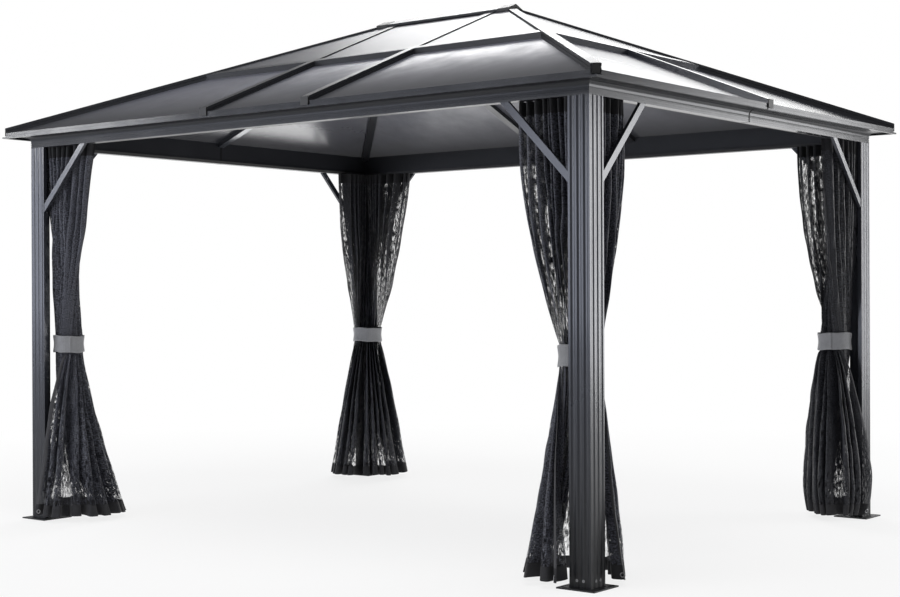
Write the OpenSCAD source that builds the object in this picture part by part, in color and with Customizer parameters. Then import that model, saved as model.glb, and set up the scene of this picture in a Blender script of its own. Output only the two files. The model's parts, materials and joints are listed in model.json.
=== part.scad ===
// Hard-top garden gazebo: an open metal frame on four corner posts, with a two-step hip roof
// of smoked panels and a tied-back net hanging in each corner.
// Long side along X, front facing -Y, Z up, origin on the floor under the middle of the roof.

/* [Overall size] */
// Length over the outer faces of the posts
span_x = 3500; // [3100:10:4200]
// Width over the outer faces of the posts
span_y = 2690; // [2300:10:2750]
// Height of the underside of the headers
header_z = 1955; // [1800:5:2300]
// Reach of the eave past the outer faces of the posts
eave_out = 105; // [100:1:140]
// Slope of the roof in degrees
roof_pitch = 22; // [18:0.5:26]

/* [Posts and feet] */
// Length of each leg of the corner post
post_leg = 103; // [90:1:120]
// Thickness of each leg of the corner post
post_t = 20; // [16:1:24]
// Radius of the flutes down the post faces
flute_r = 24; // [20:1:30]
// Depth of the flutes down the post faces
flute_depth = 2.5; // [1.5:0.1:3]
// Side of the square foot plate
plate_w = 180; // [170:1:220]
// Thickness of the foot plate
plate_t = 6; // [4:0.5:10]
// Distance between the anchor holes of a foot plate
anchor_pitch = 146; // [136:1:150]
// Diameter of the anchor holes
anchor_d = 12; // [8:1:14]

/* [Braces] */
// Distance from a post to where its brace meets the header
brace_reach = 290; // [250:5:420]
// Distance below the header to where the brace meets the post
brace_drop = 300; // [250:5:420]
// Width of a brace bar seen from the side
brace_w = 30; // [22:1:40]
// Thickness of a brace bar
brace_t = 16; // [12:1:16]

/* [Headers and eaves] */
// Width of the header box
header_w = 40; // [32:1:50]
// Height of the reeded band of the header
band_h = 30; // [24:1:34]
// Radius of the hollow moulding above the band
cove_r = 28; // [22:1:28]
// Width of the grooves in the reeded band
reed_w = 3; // [2:0.5:4]
// Depth of the grooves in the reeded band
reed_depth = 2; // [1:0.5:3]
// Thickness of the eave trim
trim_t = 13; // [10:1:16]
// Height of the eave trim
trim_h = 28; // [26:1:32]
// Height of the eave trim underside above the header underside
trim_rise = 49; // [46:1:52]
// Width of a curtain track
track_w = 12; // [8:1:16]
// Height of a curtain track
track_h = 16; // [10:1:20]

/* [Roof] */
// Height of the panel underside at the eave edge above the header underside
panel_rise = 62; // [61:1:66]
// Thickness of the roof panels
panel_t = 6; // [4:0.5:8]
// Step up from the lower panels to the upper ones
panel_step = 23; // [20:1:26]
// Share of the slope below the step
step_share = 0.51; // [0.45:0.01:0.6]
// Width of the rafter and hip rails
rail_w = 45; // [38:1:52]
// Height of the rails above the panel underside
rail_up = 35; // [34:1:40]
// Depth of the rails below the panel underside
rail_down = 25; // [15:1:35]
// Depth of the grooves that hold the panels
groove = 14; // [10:1:16]
// Width of the purlin rails
purlin_w = 40; // [34:1:48]
// Share of the half ridge at which a long-side rafter stands
rafter_share = 0.8; // [0.6:0.01:0.82]
// Width of the ridge beam
ridge_w = 40; // [34:1:48]
// Depth of the ridge beam below the panel underside
ridge_down = 45; // [35:1:60]
// Depth of the fine grooves along the rails
line_depth = 3; // [2:0.5:4]
// Width of the fine grooves along the rails
line_w = 3; // [2:0.5:4]
// Half width of the ridge cap
ridge_cap_w = 60; // [48:1:70]
// Thickness of the ridge cap
ridge_cap_t = 12; // [8:1:18]
// Length of the black end pieces of the ridge cap
ridge_end_len = 62; // [56:1:80]
// Amount by which the end pieces stand proud of the ridge cap
ridge_end_lip = 2; // [1:0.5:4]
// Thickness of the black caps on the rail ends
end_cap_t = 6; // [4:0.5:8]
// Height of the black caps on the rail ends
end_cap_h = 40; // [38:1:40]
// Gap at the joints of the short headers and trims
joint_gap = 1.5; // [1:0.5:3]

/* [Nets] */
// Distance from the post faces to the middle of the gathered net at the track
net_line = 66; // [66:1:76]
// Half thickness of the gathered net at the track
net_half = 36; // [30:1:40]
// Reach of the gathered net along each track
net_reach = 440; // [380:5:500]
// Distance from the post faces to the middle of the tied bundle
tie_line = 135; // [130:1:150]
// Radius of the tied bundle
tie_r = 84; // [70:1:88]
// Height of the middle of the tie band
tie_z = 920; // [850:5:1000]
// Height of the tie band
tie_h = 88; // [70:1:100]
// Thickness of the tie band
tie_t = 4; // [3:0.5:6]
// Reach of the flared hem from the middle of the bundle
hem_reach = 265; // [230:5:290]
// Gap between the hem and the inner edges of the post
hem_gap = 27; // [20:1:32]
// Reach of the hem past the inner face of the post, out beside its legs
hem_out = 110; // [80:1:120]
// Height of the hem above the floor
hem_z = 25; // [15:1:60]

/* [Hidden] */
// overrun of cutting solids past the faces they cut
over = 10;
// sides of the eave
eave_x = span_x + 2 * eave_out;
eave_y = span_y + 2 * eave_out;
ridge_half = (eave_x - eave_y) / 2;
half_x = span_x / 2;
half_y = span_y / 2;
slope = tan(roof_pitch);
root2 = sqrt(2);
// roof heights
plane_z = header_z + panel_rise;
apex_z = plane_z + slope * eave_y / 2;
roof_top = apex_z + rail_up + ridge_cap_t + over;
// rails
web_half = rail_w / 2 - groove;
rafter_x = ridge_half * rafter_share;
rail_diag = rail_w / 2 * root2;
web_diag = web_half * root2;
hip_slope = slope / root2;
hip_drop = rail_w / 2 * hip_slope;
// depth to which the short-side upper panels enter the ends of the ridge beam
ridge_slot = 8;
ridge_beam_half = ridge_half + web_diag + 2 * ridge_slot;
ridge_web = ridge_w / 2 - groove;
ridge_metal_half = ridge_half + rail_diag - ridge_end_len - ridge_slot;
// gap between the two hips that meet at an end of the ridge
hip_gap = 1;
// share of the rail width taken by a hip plug
plug_share = 0.66;
// share of the rail height above the panel underside at which its side groove runs
line_share = 0.48;
// run of the slope from the eave edge to the ridge and to the purlin
run = eave_y / 2;
purlin_run = run * step_share;
trim_top = trim_rise + trim_h;
cap_top = panel_rise + rail_up;
cap_bottom = cap_top - end_cap_h;
cove_top = band_h + cove_r;
cornice_out = eave_out - trim_t;
mid_share = 0.5;
// share of the eave trim height at which its bead starts and ends
bead_shares = [0.4, 0.56];
bead_depth = 2;
// share of the band height of each reed
reed_shares = [0.3, 0.62];
// share of the post leg of each flute
flute_shares = [0.2, 0.5, 0.8];
smooth = 64;
fine = 32;
// direction round the bundle of each corner of the net outline
net_turns = [-80, -45, -15, 15, 30, 45, 60, 75, 105, 135, 170, 200, 225, 250];
net_n = len(net_turns);
// shares of the reach along a track at which the net outline has corners
net_shares = [0.1, 0.25, 0.55, 0.7];
net_upper_share = 0.62;
net_lower_share = 0.5;

// Side frames: the drawing of the front side turned to each side of the part
module to_back() rotate(180) children();
module to_right() rotate(90) children();
module to_left() rotate(-90) children();

// height of the panel underside at y on a side whose eave edge is d from the middle
function plane_at(y, d) = plane_z + slope * (y + d);

// Sloping slab over the panel underside of a side, from lo to hi
module slab(d, lo, hi) {
    near_y = -d - over;
    far_y = -d + run + over;
    rotate([90, 0, 90])
        linear_extrude(eave_x + over, center = true)
            polygon([
                [near_y, plane_at(near_y, d) + lo],
                [far_y, plane_at(far_y, d) + lo],
                [far_y, plane_at(far_y, d) + hi],
                [near_y, plane_at(near_y, d) + hi]
            ]);
}

// Upright prism over a plan outline
module upright(points) {
    translate([0, 0, header_z - over])
        linear_extrude(roof_top - header_z + 2 * over)
            polygon(points);
}

// half width between the hip lines at y, less a margin square to the hip
function hip_x(y, w, d, margin) = w - d - y - margin;

// Corner post profile: an L with fluted outer faces, its outer corner at the origin
module post_profile() {
    difference() {
        square([post_leg, post_leg]);
        translate([post_t, post_t])
            square([post_leg, post_leg]);
        for (s = flute_shares) {
            translate([s * post_leg, flute_depth - flute_r])
                flute_cut();
            translate([flute_depth - flute_r, s * post_leg])
                flute_cut();
        }
    }
}

module flute_cut() {
    circle(r = flute_r, $fn = smooth);
}

module post() {
    color([0.25, 0.27, 0.31])
        translate([-half_x, -half_y, plate_t])
            linear_extrude(header_z - plate_t)
                post_profile();
}

module front_left_post() post();
module front_right_post() mirror([1, 0, 0]) post();
module back_left_post() mirror([0, 1, 0]) post();
module back_right_post() rotate(180) post();

module base_plate() {
    plate_c = post_leg / 2;
    translate([-half_x + plate_c, -half_y + plate_c, 0])
        difference() {
            translate([-plate_w / 2, -plate_w / 2, 0])
                cube([plate_w, plate_w, plate_t]);
            for (i = [-1, 1])
                for (j = [-1, 1])
                    translate([i * anchor_pitch / 2, j * anchor_pitch / 2, -over])
                        cylinder(d = anchor_d, h = plate_t + 2 * over, $fn = fine);
        }
}

module base_plates() {
    color([0.22, 0.23, 0.26]) {
        base_plate();
        mirror([1, 0, 0])
            base_plate();
        mirror([0, 1, 0])
            base_plate();
        rotate(180)
            base_plate();
    }
}

// Brace bar drawn in the plane of the front: s from the post leg, z down from the header
module brace_bar() {
    brace_len = sqrt(brace_reach * brace_reach + brace_drop * brace_drop);
    foot = brace_w * brace_len / brace_reach;
    head = brace_w * brace_len / brace_drop;
    rotate([90, 0, 0])
        linear_extrude(brace_t)
            polygon([
                [0, -brace_drop],
                [0, -brace_drop - foot],
                [brace_reach + head, 0],
                [brace_reach, 0]
            ]);
}

module corner_braces() {
    inset = (post_t + brace_t) / 2;
    color([0.30, 0.32, 0.36]) {
        translate([-half_x + post_leg, -half_y + inset, header_z])
            brace_bar();
        translate([-half_x + inset - brace_t, -half_y + post_leg, header_z])
            rotate(90)
                brace_bar();
    }
}

module front_left_braces() corner_braces();
module front_right_braces() mirror([1, 0, 0]) corner_braces();
module back_left_braces() mirror([0, 1, 0]) corner_braces();
module back_right_braces() rotate(180) corner_braces();

// Header profile: u outward from the post face, z up from the header underside
module header_profile() {
    top_in = panel_rise + slope * (eave_out + header_w);
    top_out = panel_rise + slope * trim_t;
    difference() {
        polygon([
            [-header_w, 0],
            [0, 0],
            [0, band_h],
            [cove_r, cove_top],
            [cornice_out, cove_top],
            [cornice_out, top_out],
            [-header_w, top_in]
        ]);
        translate([cove_r, band_h])
            circle(r = cove_r, $fn = smooth);
        for (s = reed_shares)
            translate([-reed_depth, s * band_h])
                square([reed_depth + over, reed_w]);
    }
}

// Plan outline of one mitred length round the eave, from inner to outer reach past the posts
function mitre(w, d, inner, outer) = [
    [-w - outer, -d - outer],
    [w + outer, -d - outer],
    [w + inner, -d - inner],
    [-w - inner, -d - inner]
];

module header(w, d) {
    color([0.24, 0.26, 0.30])
        intersection() {
            translate([0, -d, header_z])
                rotate([90, 0, -90])
                    linear_extrude(2 * (w + eave_out), center = true)
                        header_profile();
            upright(mitre(w, d, -header_w - over, cornice_out + over));
        }
}

// Short headers come in two lengths with a joint in the middle
module short_header() {
    difference() {
        header(half_y, half_x);
        translate([-joint_gap / 2, -half_x - eave_out, header_z - over])
            cube([joint_gap, eave_out + header_w + over, roof_top - header_z]);
    }
}

module front_header() header(half_x, half_y);
module back_header() to_back() header(half_x, half_y);
module right_header() to_right() short_header();
module left_header() to_left() short_header();

module trim_profile() {
    translate([cornice_out, trim_rise])
        difference() {
            square([trim_t, trim_h]);
            translate([trim_t - bead_depth, bead_shares[0] * trim_h])
                square([bead_depth + over, (bead_shares[1] - bead_shares[0]) * trim_h]);
        }
}

// Notch at the eave corners that takes the hip end caps
module corner_notch() {
    for (i = [-1, 1])
        for (j = [-1, 1])
            translate([i * eave_x / 2, j * eave_y / 2, header_z + cap_bottom])
                rotate(45)
                    translate([-rail_w / 2, -rail_w / 2, 0])
                        cube([rail_w, rail_w, end_cap_h + over]);
}

module trim(w, d) {
    color([0.34, 0.36, 0.40])
        difference() {
            intersection() {
                translate([0, -d, header_z])
                    rotate([90, 0, -90])
                        linear_extrude(2 * (w + eave_out + over), center = true)
                            trim_profile();
                upright(mitre(w, d, 0, eave_out + over));
            }
            if (w > d)
                corner_notch();
            else
                rotate(90)
                    corner_notch();
        }
}

// Plain space taken by a length of trim
module trim_block(w, d) {
    intersection() {
        upright(mitre(w, d, cornice_out, eave_out + over));
        translate([-w - eave_out - over, -d - eave_out - over, header_z - over])
            cube([2 * (w + eave_out + over), 2 * (eave_out + over), trim_top + over]);
    }
}

// Short trims come in two lengths with a joint beside the rafter
module short_trim() {
    difference() {
        trim(half_y, half_x);
        translate([-rail_w / 2 - joint_gap, -half_x - eave_out - over, header_z - over])
            cube([joint_gap, eave_out + over, roof_top - header_z]);
    }
}

module front_trim() trim(half_x, half_y);
module back_trim() to_back() trim(half_x, half_y);
module right_trim() to_right() short_trim();
module left_trim() to_left() short_trim();

// Long-side panels: outlines in plan between two cross edges
module long_panels(near_y, far_y, lo) {
    w = eave_x / 2;
    in_x = rafter_x - web_half;
    out_x = rafter_x + web_half;
    intersection() {
        slab(run, lo, lo + panel_t);
        union() {
            upright([[-in_x, near_y], [in_x, near_y], [in_x, far_y], [-in_x, far_y]]);
            for (m = [0, 1])
                mirror([m, 0, 0])
                    upright([
                        [out_x, near_y],
                        [hip_x(near_y, w, run, web_diag), near_y],
                        [hip_x(far_y, w, run, web_diag), far_y],
                        [out_x, far_y]
                    ]);
        }
    }
}

lower_near = -run + trim_t;
lower_far = -run + purlin_run + groove;
upper_near = -run + purlin_run + purlin_w - groove;
upper_far = -ridge_web;

module long_lower() {
    color([0.42, 0.43, 0.46, 0.8])
        long_panels(lower_near, lower_far, 0);
}

module long_upper() {
    color([0.60, 0.61, 0.63, 0.8])
        long_panels(upper_near, upper_far, panel_step);
}

module front_lower_panels() long_lower();
module front_upper_panels() long_upper();
module back_lower_panels() to_back() long_lower();
module back_upper_panels() to_back() long_upper();

// Short-side panels
module side_lower() {
    d = eave_x / 2;
    near_y = -d + trim_t;
    far_y = -d + purlin_run + groove;
    color([0.42, 0.43, 0.46, 0.8])
        intersection() {
            slab(d, 0, panel_t);
            for (m = [0, 1])
                mirror([m, 0, 0])
                    upright([
                        [web_half, near_y],
                        [hip_x(near_y, run, d, web_diag), near_y],
                        [hip_x(far_y, run, d, web_diag), far_y],
                        [web_half, far_y]
                    ]);
        }
}

module side_upper() {
    d = eave_x / 2;
    near_y = -d + purlin_run + purlin_w - groove;
    far_y = -ridge_beam_half + ridge_slot;
    near_x = hip_x(near_y, run, d, web_diag);
    far_x = hip_x(far_y, run, d, web_diag);
    color([0.60, 0.61, 0.63, 0.8])
        intersection() {
            slab(d, panel_step, panel_step + panel_t);
            upright([[-near_x, near_y], [near_x, near_y], [far_x, far_y], [-far_x, far_y]]);
        }
}

module right_lower_panels() to_right() side_lower();
module right_upper_panel() to_right() side_upper();
module left_lower_panels() to_left() side_lower();
module left_upper_panel() to_left() side_upper();

// Rafter rail: a cap over the panels and a rib below them inside the header, with a side groove
module rafter_rail(d, head_y, post_d) {
    w = rail_w / 2;
    line = rail_up * line_share;
    difference() {
        union() {
            intersection() {
                slab(d, 0, rail_up);
                upright([[-w, -d], [w, -d], [w, head_y], [-w, head_y]]);
            }
            intersection() {
                slab(d, -rail_down, panel_t);
                upright([
                    [-w, -post_d + header_w],
                    [w, -post_d + header_w],
                    [w, head_y],
                    [-w, head_y]
                ]);
            }
        }
        intersection() {
            slab(d, line, line + line_w);
            for (m = [-1, 1])
                translate([m * w, 0])
                    upright([
                        [-line_depth, -d - over],
                        [line_depth, -d - over],
                        [line_depth, head_y + over],
                        [-line_depth, head_y + over]
                    ]);
        }
    }
}

module long_rafters() {
    color([0.20, 0.21, 0.24])
        difference() {
            for (m = [-1, 1])
                translate([m * rafter_x, 0, 0])
                    rafter_rail(run, -ridge_w / 2, half_y);
            trim_block(half_x, half_y);
            long_lower();
            long_upper();
        }
}

module front_rafters() long_rafters();
module back_rafters() to_back() long_rafters();

module side_rafter() {
    d = eave_x / 2;
    color([0.20, 0.21, 0.24])
        difference() {
            rafter_rail(d, -d + purlin_run, half_x);
            trim_block(half_y, half_x);
            side_lower();
        }
}

module side_rafters() {
    to_right()
        side_rafter();
    to_left()
        side_rafter();
}

// Fine groove along the top of a purlin
module purlin_line(d) {
    near_y = -d + purlin_run + groove - line_w;
    intersection() {
        slab(d, rail_up - line_depth, rail_up + over);
        upright([
            [-eave_x / 2, near_y],
            [eave_x / 2, near_y],
            [eave_x / 2, near_y + line_w],
            [-eave_x / 2, near_y + line_w]
        ]);
    }
}

// Purlins at the step, between the rails
module long_purlins() {
    w = eave_x / 2;
    near_y = -run + purlin_run;
    far_y = near_y + purlin_w;
    in_x = rafter_x - rail_w / 2;
    out_x = rafter_x + rail_w / 2;
    color([0.22, 0.23, 0.26])
        difference() {
            intersection() {
                slab(run, -rail_down, rail_up);
                union() {
                    upright([[-in_x, near_y], [in_x, near_y], [in_x, far_y], [-in_x, far_y]]);
                    for (m = [0, 1])
                        mirror([m, 0, 0])
                            upright([
                                [out_x, near_y],
                                [hip_x(near_y, w, run, rail_diag), near_y],
                                [hip_x(far_y, w, run, rail_diag), far_y],
                                [out_x, far_y]
                            ]);
                }
            }
            long_lower();
            long_upper();
            purlin_line(run);
        }
}

module front_purlins() long_purlins();
module back_purlins() to_back() long_purlins();

module side_purlin() {
    d = eave_x / 2;
    near_y = -d + purlin_run;
    far_y = near_y + purlin_w;
    near_x = hip_x(near_y, run, d, rail_diag);
    far_x = hip_x(far_y, run, d, rail_diag);
    color([0.22, 0.23, 0.26])
        difference() {
            intersection() {
                slab(d, -rail_down, rail_up);
                upright([[-near_x, near_y], [near_x, near_y], [far_x, far_y], [-far_x, far_y]]);
            }
            side_lower();
            side_upper();
            purlin_line(d);
        }
}

module side_purlins() {
    to_right()
        side_purlin();
    to_left()
        side_purlin();
}

// Bar along the front right hip, from lo to hi above the panel underside on the hip line
module hip_bar(start, lo, hi, width) {
    hip_run = run * root2 + over;
    translate([eave_x / 2, -eave_y / 2, plane_z])
        rotate(135)
            rotate([90, 0, 0])
                linear_extrude(width, center = true)
                    polygon([
                        [start, start * hip_slope + lo],
                        [hip_run, hip_run * hip_slope + lo],
                        [hip_run, hip_run * hip_slope + hi],
                        [start, start * hip_slope + hi]
                    ]);
}

// Hip rail of the front right corner: square end at the eave, rib below inside the headers
module hip() {
    line = rail_up * line_share;
    in_x = half_x - header_w;
    in_y = half_y - header_w;
    color([0.20, 0.21, 0.24])
        difference() {
            intersection() {
                union() {
                    hip_bar(rail_w / 2, -hip_drop, rail_up, rail_w);
                    intersection() {
                        hip_bar(rail_w / 2, -rail_down, panel_t, rail_w);
                        upright([[0, -in_y], [in_x, -in_y], [in_x, 0], [0, 0]]);
                    }
                }
                upright([
                    [0, -run - over],
                    [eave_x / 2 + over, -run - over],
                    [eave_x / 2 + over, -hip_gap / 2],
                    [0, -hip_gap / 2]
                ]);
            }
            difference() {
                hip_bar(0, line, line + line_w, rail_w + over);
                hip_bar(0, line - over, line + over, rail_w - 2 * line_depth);
            }
            ridge_core();
            header(half_x, half_y);
            to_right()
                header(half_y, half_x);
            trim_block(half_x, half_y);
            to_right()
                trim_block(half_y, half_x);
            long_lower();
            long_upper();
            right_lower_panels();
            right_upper_panel();
        }
}

// Space taken by the ridge beam
module ridge_core() {
    translate([-ridge_beam_half, -ridge_w / 2, apex_z - ridge_down])
        cube([2 * ridge_beam_half, ridge_w, ridge_down + rail_up + over]);
}

module front_right_hip() hip();
module front_left_hip() mirror([1, 0, 0]) hip();
module back_right_hip() mirror([0, 1, 0]) hip();
module back_left_hip() rotate(180) hip();

// Ridge beam with a peaked top
module ridge_beam() {
    color([0.20, 0.21, 0.24])
        difference() {
            translate([-ridge_beam_half, 0, apex_z])
                rotate([90, 0, 90])
                    linear_extrude(2 * ridge_beam_half)
                        polygon([
                            [-ridge_w / 2, -ridge_down],
                            [ridge_w / 2, -ridge_down],
                            [ridge_w / 2, rail_up - slope * ridge_w / 2],
                            [0, rail_up],
                            [-ridge_w / 2, rail_up - slope * ridge_w / 2]
                        ]);
            long_upper();
            back_upper_panels();
            right_upper_panel();
            left_upper_panel();
        }
}

// Peaked band along the ridge, from lo to hi above the tops of the rails
module ridge_band(near_x, far_x, half_w, lo, hi) {
    fall = slope * half_w;
    translate([near_x, 0, apex_z + rail_up])
        rotate([90, 0, 90])
            linear_extrude(far_x - near_x)
                polygon([
                    [0, lo],
                    [half_w, lo - fall],
                    [half_w, hi - fall],
                    [0, hi],
                    [-half_w, hi - fall],
                    [-half_w, lo - fall]
                ]);
}

module ridge_cap() {
    color([0.40, 0.42, 0.46])
        ridge_band(-ridge_metal_half, ridge_metal_half, ridge_cap_w, 0, ridge_cap_t);
}

module all_hips() {
    front_left_hip();
    front_right_hip();
    back_left_hip();
    back_right_hip();
}

module ridge_end_caps() {
    end_x = ridge_beam_half + ridge_slot;
    w = ridge_cap_w + ridge_end_lip;
    color([0.05, 0.05, 0.06])
        difference() {
            for (m = [0, 1])
                mirror([m, 0, 0])
                    ridge_band(ridge_metal_half, end_x, w, -line_depth, ridge_cap_t + ridge_end_lip);
            ridge_beam();
            all_hips();
            front_rafters();
            back_rafters();
        }
}

// Black caps on the eave ends of the rafters and hips
module rafter_end_cap(d) {
    translate([-rail_w / 2, -d - end_cap_t, header_z + cap_bottom])
        cube([rail_w, end_cap_t, end_cap_h]);
}

module hip_end_cap() {
    plug_w = rail_w * plug_share;
    plug_top = panel_rise + hip_drop + rail_up;
    translate([eave_x / 2, -eave_y / 2, header_z + plug_top - end_cap_h])
        rotate(-45)
            translate([-rail_w / 2, -plug_w / 2, 0])
                cube([end_cap_t, plug_w, end_cap_h]);
}

module rail_end_caps() {
    color([0.05, 0.05, 0.06]) {
        for (m = [-1, 1]) {
            translate([m * rafter_x, 0, 0])
                rafter_end_cap(run);
            to_back()
                translate([m * rafter_x, 0, 0])
                    rafter_end_cap(run);
        }
        to_right()
            rafter_end_cap(eave_x / 2);
        to_left()
            rafter_end_cap(eave_x / 2);
        hip_end_cap();
        mirror([1, 0, 0])
            hip_end_cap();
        mirror([0, 1, 0])
            hip_end_cap();
        to_back()
            hip_end_cap();
    }
}

// Curtain tracks inside the headers
module curtain_tracks() {
    gap = header_w + 2 * track_w;
    color([0.15, 0.15, 0.16])
        for (a = [0, 180]) {
            rotate(a)
                translate([-half_x + gap, -half_y + header_w, header_z])
                    cube([span_x - 2 * gap, track_w, track_h]);
            rotate(a)
                translate([-half_x + header_w, -half_y + gap, header_z])
                    cube([track_w, span_y - 2 * gap, track_h]);
        }
}

// Net outline at the tracks, as distances in from the two outer post faces
function track_ring() = let (
    near = net_line - net_half,
    far = net_line + net_half,
    at = [for (k = net_shares) near + (net_reach - near) * k]
) [
    [at[1], near], [at[3], near], [net_reach, near], [net_reach, far], [at[2], far],
    [far, far],
    [far, at[2]], [far, net_reach], [near, net_reach], [near, at[3]], [near, at[1]],
    [near, at[0]], [near, near], [at[0], near]
];

function turned(a, r) = [tie_line + r * cos(a), tie_line + r * sin(a)];

function bundle_ring(r) = [for (a = net_turns) turned(a, r)];

// Net outline at the hem: a flared skirt whose ends pass the edges of the post legs
function skirt_ring() = let (
    lobe = post_leg + hem_gap,
    tip = post_t - hem_out,
    inner = post_t + hem_gap
) concat(
    [[lobe, tip]],
    [for (i = [1:9]) turned(net_turns[i], hem_reach)],
    [[tip, lobe], [inner, post_leg], [inner, inner], [post_leg, inner]]
);

function blend(p, q, s) = [for (i = [0:net_n - 1]) p[i] * (1 - s) + q[i] * s];

function at_z(ring, z) = [for (p = ring) [p[0], p[1], z]];

// Gathered net of the front left corner
module net() {
    top_ring = track_ring();
    tie_ring = bundle_ring(tie_r);
    hem_ring = skirt_ring();
    tie_top = tie_z + tie_h / 2;
    tie_bottom = tie_z - tie_h / 2;
    upper_z = tie_top + (header_z - tie_top) * net_upper_share;
    lower_z = hem_z + (tie_bottom - hem_z) * net_lower_share;
    rings = [
        at_z(hem_ring, hem_z),
        at_z(blend(hem_ring, tie_ring, net_lower_share), lower_z),
        at_z(tie_ring, tie_bottom),
        at_z(tie_ring, tie_top),
        at_z(blend(top_ring, tie_ring, 1 - net_upper_share), upper_z),
        at_z(top_ring, header_z)
    ];
    last = (len(rings) - 1) * net_n;
    points = [for (r = rings) for (p = r) p];
    caps = [
        [1, 2, 3, 4], [0, 1, 4, 5], [13, 0, 5], [12, 13, 5],
        [11, 12, 5], [10, 11, 5], [9, 10, 5, 6], [8, 9, 6, 7]
    ];
    sides = [
        for (k = [0:len(rings) - 2])
            for (i = [0:net_n - 1])
                let (
                    a = k * net_n + i,
                    b = k * net_n + (i + 1) % net_n
                )
                each [[a, a + net_n, b], [b, a + net_n, b + net_n]]
    ];
    lids = concat(
        caps,
        [for (c = caps) [for (i = [len(c) - 1:-1:0]) last + c[i]]]
    );
    color([0.06, 0.06, 0.07])
        translate([-half_x, -half_y, 0])
            polyhedron(points = points, faces = concat(sides, lids));
}

module front_left_net() net();
module front_right_net() mirror([1, 0, 0]) net();
module back_left_net() mirror([0, 1, 0]) net();
module back_right_net() rotate(180) net();

module tie_band() {
    translate([-half_x, -half_y, tie_z - tie_h / 2])
        linear_extrude(tie_h)
            difference() {
                polygon(bundle_ring(tie_r + tie_t));
                polygon(bundle_ring(tie_r));
            }
}

module net_ties() {
    color([0.45, 0.45, 0.46]) {
        tie_band();
        mirror([1, 0, 0])
            tie_band();
        mirror([0, 1, 0])
            tie_band();
        rotate(180)
            tie_band();
    }
}

base_plates();
front_left_post();
front_right_post();
back_left_post();
back_right_post();
front_left_braces();
front_right_braces();
back_left_braces();
back_right_braces();
front_header();
back_header();
left_header();
right_header();
front_trim();
back_trim();
left_trim();
right_trim();
front_lower_panels();
front_upper_panels();
back_lower_panels();
back_upper_panels();
left_lower_panels();
left_upper_panel();
right_lower_panels();
right_upper_panel();
front_rafters();
back_rafters();
side_rafters();
front_purlins();
back_purlins();
side_purlins();
front_left_hip();
front_right_hip();
back_left_hip();
back_right_hip();
ridge_beam();
ridge_cap();
ridge_end_caps();
rail_end_caps();
curtain_tracks();
front_left_net();
front_right_net();
back_left_net();
back_right_net();
net_ties();
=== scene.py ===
"""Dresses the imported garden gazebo: its finishes, tied-back nets, small fittings and a studio."""

import json
import math
import random
from typing import NamedTuple

import bpy
import numpy as np
from bpy.props import FloatProperty, FloatVectorProperty, IntProperty, PointerProperty
from mathutils import Matrix, Vector

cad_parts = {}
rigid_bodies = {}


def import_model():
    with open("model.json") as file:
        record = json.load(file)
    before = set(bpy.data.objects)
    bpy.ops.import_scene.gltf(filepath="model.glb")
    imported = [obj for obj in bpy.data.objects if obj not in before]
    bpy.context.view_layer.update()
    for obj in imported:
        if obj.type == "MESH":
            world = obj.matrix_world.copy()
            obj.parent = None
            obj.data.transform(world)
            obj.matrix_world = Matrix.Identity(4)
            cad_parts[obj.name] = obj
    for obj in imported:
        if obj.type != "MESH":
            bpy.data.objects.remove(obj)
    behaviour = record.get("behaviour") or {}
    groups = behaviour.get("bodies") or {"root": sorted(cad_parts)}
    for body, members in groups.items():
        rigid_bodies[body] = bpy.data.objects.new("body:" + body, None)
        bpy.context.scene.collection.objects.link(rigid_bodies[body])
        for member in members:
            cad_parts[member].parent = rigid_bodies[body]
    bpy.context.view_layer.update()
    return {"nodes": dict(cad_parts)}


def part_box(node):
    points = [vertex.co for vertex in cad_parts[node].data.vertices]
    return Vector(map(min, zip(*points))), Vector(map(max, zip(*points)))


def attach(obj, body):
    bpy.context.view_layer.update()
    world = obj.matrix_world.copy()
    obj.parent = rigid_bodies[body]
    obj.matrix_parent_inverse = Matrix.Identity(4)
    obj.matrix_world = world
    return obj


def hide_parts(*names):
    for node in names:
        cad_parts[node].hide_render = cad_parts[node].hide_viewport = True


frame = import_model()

bl_info = {
    "name": "Garden gazebo",
    "version": (1, 0, 0),
    "blender": (4, 5, 0),
    "location": "View3D > Sidebar > Gazebo",
    "description": "Finishes, nets, fittings and studio for a hard-top garden gazebo",
    "category": "Object",
}

BODY = "root"
NODES = frame["nodes"]
UP = Vector((0.0, 0.0, 1.0))
TAU = math.tau

# corner name: direction of the corner from the middle of the floor
CORNERS = {
    "front_left": (-1, -1),
    "front_right": (1, -1),
    "back_left": (-1, 1),
    "back_right": (1, 1),
}
LONG_SIDES = ("front", "back")
SHORT_SIDES = ("left", "right")

POST_LOW, POST_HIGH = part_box("front_left_post")
HALF_X, HALF_Y = -POST_LOW.x, -POST_LOW.y
POST_LEG = POST_HIGH.x - POST_LOW.x
PLATE_TOP = POST_LOW.z
# lowest and highest point of the nets and of their ties
NET_LOW, NET_HIGH = (corner.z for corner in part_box("front_left_net"))
TIE_LOW, TIE_HIGH = (corner.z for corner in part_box("net_ties"))


def named(owners, *pieces):
    """Names of the nodes that hold these pieces at each corner or side."""
    return [f"{owner}_{piece}" for owner in owners for piece in pieces]


METAL_NODES = ["base_plates", "side_rafters", "side_purlins", *named(CORNERS, "post", "braces")]
RAIL_NODES = ["ridge_beam", "ridge_cap", *named(CORNERS, "hip")]
RAIL_NODES += named(LONG_SIDES, "rafters", "purlins", "header")
TRIM_NODES = named(LONG_SIDES, "trim")
# headers and trims that come in two lengths, and how far from the middle they can meet
JOINED_NODES = named(SHORT_SIDES, "header", "trim")
JOINT_REACH = 0.06
PLASTIC_NODES = ["ridge_end_caps", "rail_end_caps", "curtain_tracks"]


def number(name, text, value, **options):
    return FloatProperty(name=name, description=text, default=value, **options)


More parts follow.
